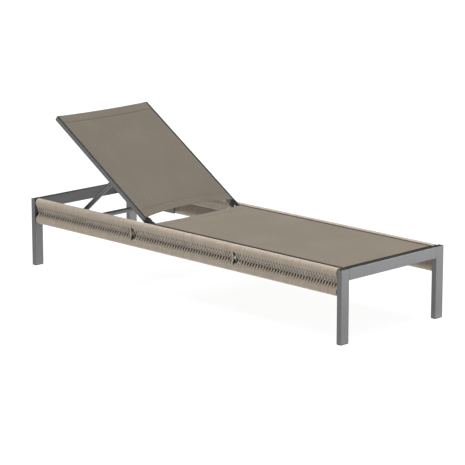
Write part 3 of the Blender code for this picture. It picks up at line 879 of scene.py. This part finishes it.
def screw_ring(bm, radius, height, hexagon=False):
    ring = []
    for step in range(SCREW_STEPS):
        angle = step * 2 * math.pi / SCREW_STEPS
        reach = radius * (hexagon_share(angle) if hexagon else 1.0)
        ring.append(bm.verts.new((reach * math.cos(angle), reach * math.sin(angle), height)))
    return ring


def hexagon_share(angle):
    """How far a hexagon's edge lies from its middle at an angle, where its corners are at 1."""
    half = math.pi / 6
    return math.cos(half) / math.cos((angle + half) % (2 * half) - half)


def collar_ring(low, high, x, wall):
    """A rounded rectangle that stands wall outside a rail, or inside it where wall is below 0."""
    middle = (low + high) / 2
    half = (high - low) / 2
    radius = max(COLLAR_ROUND + wall, COLLAR_MOUTH_ROUND)
    inset = COLLAR_ROUND - min(COLLAR_ROUND + wall, 0.0)
    ring = []
    for corner, (side, height) in enumerate(((1, 1), (-1, 1), (-1, -1), (1, -1))):
        centre_y = middle.y + side * (half.y - inset)
        centre_z = middle.z + height * (half.z - inset)
        for angle in np.radians(90 * corner + np.linspace(0, 90, 6)):
            ring.append((x, centre_y + radius * math.cos(angle), centre_z + radius * math.sin(angle)))
    return ring


def end_collars(black):
    """A moulded collar round the lower end of each back rail, turned in over the rail's end."""
    tilted = back_frame()
    for label in SIDES:
        low, high = span_in(f"back_rail_{label}", tilted)
        start = high.x - COLLAR_LENGTH
        end = high.x + COLLAR_EDGE
        steps = ((start, COLLAR_START_WALL), (start + COLLAR_EDGE, COLLAR_WALL),
                 (end - COLLAR_TAPER, COLLAR_WALL), (end, COLLAR_END_WALL), (end, -COLLAR_LIP))
        rings = [collar_ring(low, high, x, wall) for x, wall in steps]
        points = [point for ring in rings for point in ring]
        faces = ring_faces(len(rings), len(rings[0]))
        made = make_object(f"back_rail_collar_{label}", points, faces, black)
        made.data.transform(tilted)
        black_fitting(made, "backrest")


def trim_section(start, end, top):
    """Section of the end trim in (x, z): softened corners and a shallow groove along its top."""
    bottom = top - TRIM_DEPTH
    middle = (start + end) / 2
    groove_floor = top - TRIM_GROOVE_DEPTH
    return [
        (start, bottom + TRIM_EDGE), (start + TRIM_EDGE, bottom),
        (end - TRIM_EDGE, bottom), (end, bottom + TRIM_EDGE),
        (end, top - TRIM_EDGE), (end - TRIM_SOFT, top - TRIM_SOFT), (end - TRIM_EDGE, top),
        (middle + TRIM_GROOVE_TOP, top), (middle + TRIM_GROOVE_FLOOR, groove_floor),
        (middle - TRIM_GROOVE_FLOOR, groove_floor), (middle - TRIM_GROOVE_TOP, top),
        (start + TRIM_EDGE, top), (start + TRIM_SOFT, top - TRIM_SOFT), (start, top - TRIM_EDGE),
    ]


def end_trim(black):
    """A black bar in the slot between the seat sling and the foot rail, its ends in the side rails."""
    foot_low, foot_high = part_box("foot_top_rail")
    start = foot_low.x - TRIM_WIDTH - TRIM_TUCK
    section = trim_section(start, foot_low.x - TRIM_GAP, foot_high.z - TRIM_DROP)
    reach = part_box("seat_rail_left")[0].y + TRIM_HOUSED
    stations = (-reach, TRIM_END - reach, reach - TRIM_END, reach)
    points = [(x, y, z) for y in stations for x, z in section]
    count = len(section)
    last = (len(stations) - 1) * count
    sides = [face[::-1] for face in ring_faces(len(stations), count)]
    caps = [tuple(range(count)), tuple(reversed(range(last, last + count)))]
    black_fitting(make_object("seat_end_trim", points, sides + caps, black), "frame")


def finish_cad_nodes():
    """Gives each CAD node that stays visible its finish."""
    finishes = {"frame_metal": powder_coat(), "nylon": nylon(), "steel": brushed_steel()}
    for part in frame["record"]["subparts"]:
        if part["material_slot"] in finishes:
            mesh = frame["nodes"][part["node"]].data
            mesh.materials.clear()
            mesh.materials.append(finishes[part["material_slot"]])
    return finishes


# Stage


def lay_floor():
    bm = bmesh.new()
    bmesh.ops.create_grid(bm, x_segments=4, y_segments=4, size=FLOOR_SIZE / 2)
    mesh = bpy.data.meshes.new("floor")
    bm.to_mesh(mesh)
    bm.free()
    add_object("floor", mesh, floor_material())


def toward(azimuth, elevation):
    """Unit vector at degrees of azimuth, 0 toward -Y and 90 toward +X, and of elevation."""
    a = math.radians(azimuth)
    e = math.radians(elevation)
    return Vector((math.sin(a) * math.cos(e), -math.cos(a) * math.cos(e), math.sin(e)))


def aim(made, away):
    """Turns a light or a camera that stands away from the chaise to face it."""
    made.rotation_euler = (-away).to_track_quat("-Z", "Y").to_euler()
    bpy.context.scene.collection.objects.link(made)


def sun(name, azimuth, elevation, spread, strength):
    """A wide, even light that leaves no highlight."""
    lamp = bpy.data.lights.new(name, "SUN")
    lamp.angle = math.radians(spread)
    lamp.energy = strength
    made = bpy.data.objects.new(name, lamp)
    made.visible_glossy = False
    aim(made, toward(azimuth, elevation))


def reflector(name, azimuth, elevation, distance, size, energy):
    """A card seen only in reflections: it adds no diffuse light and the camera doesn't see it."""
    away = toward(azimuth, elevation)
    lamp = bpy.data.lights.new(name, "AREA")
    lamp.size = size
    lamp.energy = energy
    made = bpy.data.objects.new(name, lamp)
    made.location = away * distance
    made.visible_diffuse = False
    made.visible_camera = False
    aim(made, away)


def light_stage():
    """A dim studio, brighter beyond the foot end, with a broad light overhead and a faint key light."""
    world = bpy.data.worlds.new("studio")
    world.use_nodes = True
    tree = world.node_tree
    background = tree.nodes["Background"]
    background.inputs["Color"].default_value = WHITE
    direction = tree.nodes.new("ShaderNodeTexCoord").outputs["Generated"]
    foot_end = add_node(tree, "ShaderNodeSeparateXYZ", Vector=direction).outputs["X"]
    connect(tree, background.inputs["Strength"], between(tree, foot_end, SKY_LIGHT, FOOT_SKY_LIGHT))
    bpy.context.scene.world = world
    sun("top", azimuth=-90, elevation=80, spread=60, strength=TOP_LIGHT)
    sun("key", azimuth=24, elevation=24, spread=50, strength=KEY_LIGHT)
    reflector("card", azimuth=128, elevation=10, distance=5.0, size=3.5, energy=CARD_LIGHT)
    bpy.context.scene.view_settings.view_transform = "Standard"


def place_camera():
    away = toward(CAMERA_AZIMUTH, CAMERA_ELEVATION)
    data = bpy.data.cameras.new("camera")
    data.sensor_width = SENSOR_WIDTH
    data.lens = LENS
    data.clip_end = CAMERA_REACH
    made = bpy.data.objects.new("camera", data)
    made.location = Vector(CAMERA_TARGET) + away * CAMERA_DISTANCE
    aim(made, away)
    bpy.context.scene.camera = made


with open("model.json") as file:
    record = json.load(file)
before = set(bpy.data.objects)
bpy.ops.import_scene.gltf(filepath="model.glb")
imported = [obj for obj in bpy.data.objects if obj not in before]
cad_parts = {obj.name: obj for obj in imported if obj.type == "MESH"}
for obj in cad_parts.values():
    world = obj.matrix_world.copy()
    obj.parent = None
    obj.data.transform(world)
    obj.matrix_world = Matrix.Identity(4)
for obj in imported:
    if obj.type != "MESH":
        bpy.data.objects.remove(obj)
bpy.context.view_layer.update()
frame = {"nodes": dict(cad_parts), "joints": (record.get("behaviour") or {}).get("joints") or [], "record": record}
finishes = finish_cad_nodes()
wind_ropes(cord_rope())
sewing_thread = thread()
seat_mesh = sling_cloth("seat_sling_mesh", SEAT_TONES, SEAT_FIGURE, SEAT_SEAM_AND_SHADE)
# The back cloth's tones are the seat cloth's, darkened as painted shade
back_mesh = sling_cloth("back_sling_mesh", BACK_SHADED_TONES, BACK_FIGURE, BACK_SEAM_AND_SHADE)
seat_cloth(seat_mesh, sewing_thread)
back_cloth(back_mesh, sewing_thread, finishes["nylon"])
end_collars(finishes["nylon"])
end_trim(finishes["nylon"])
lay_floor()
light_stage()
place_camera()
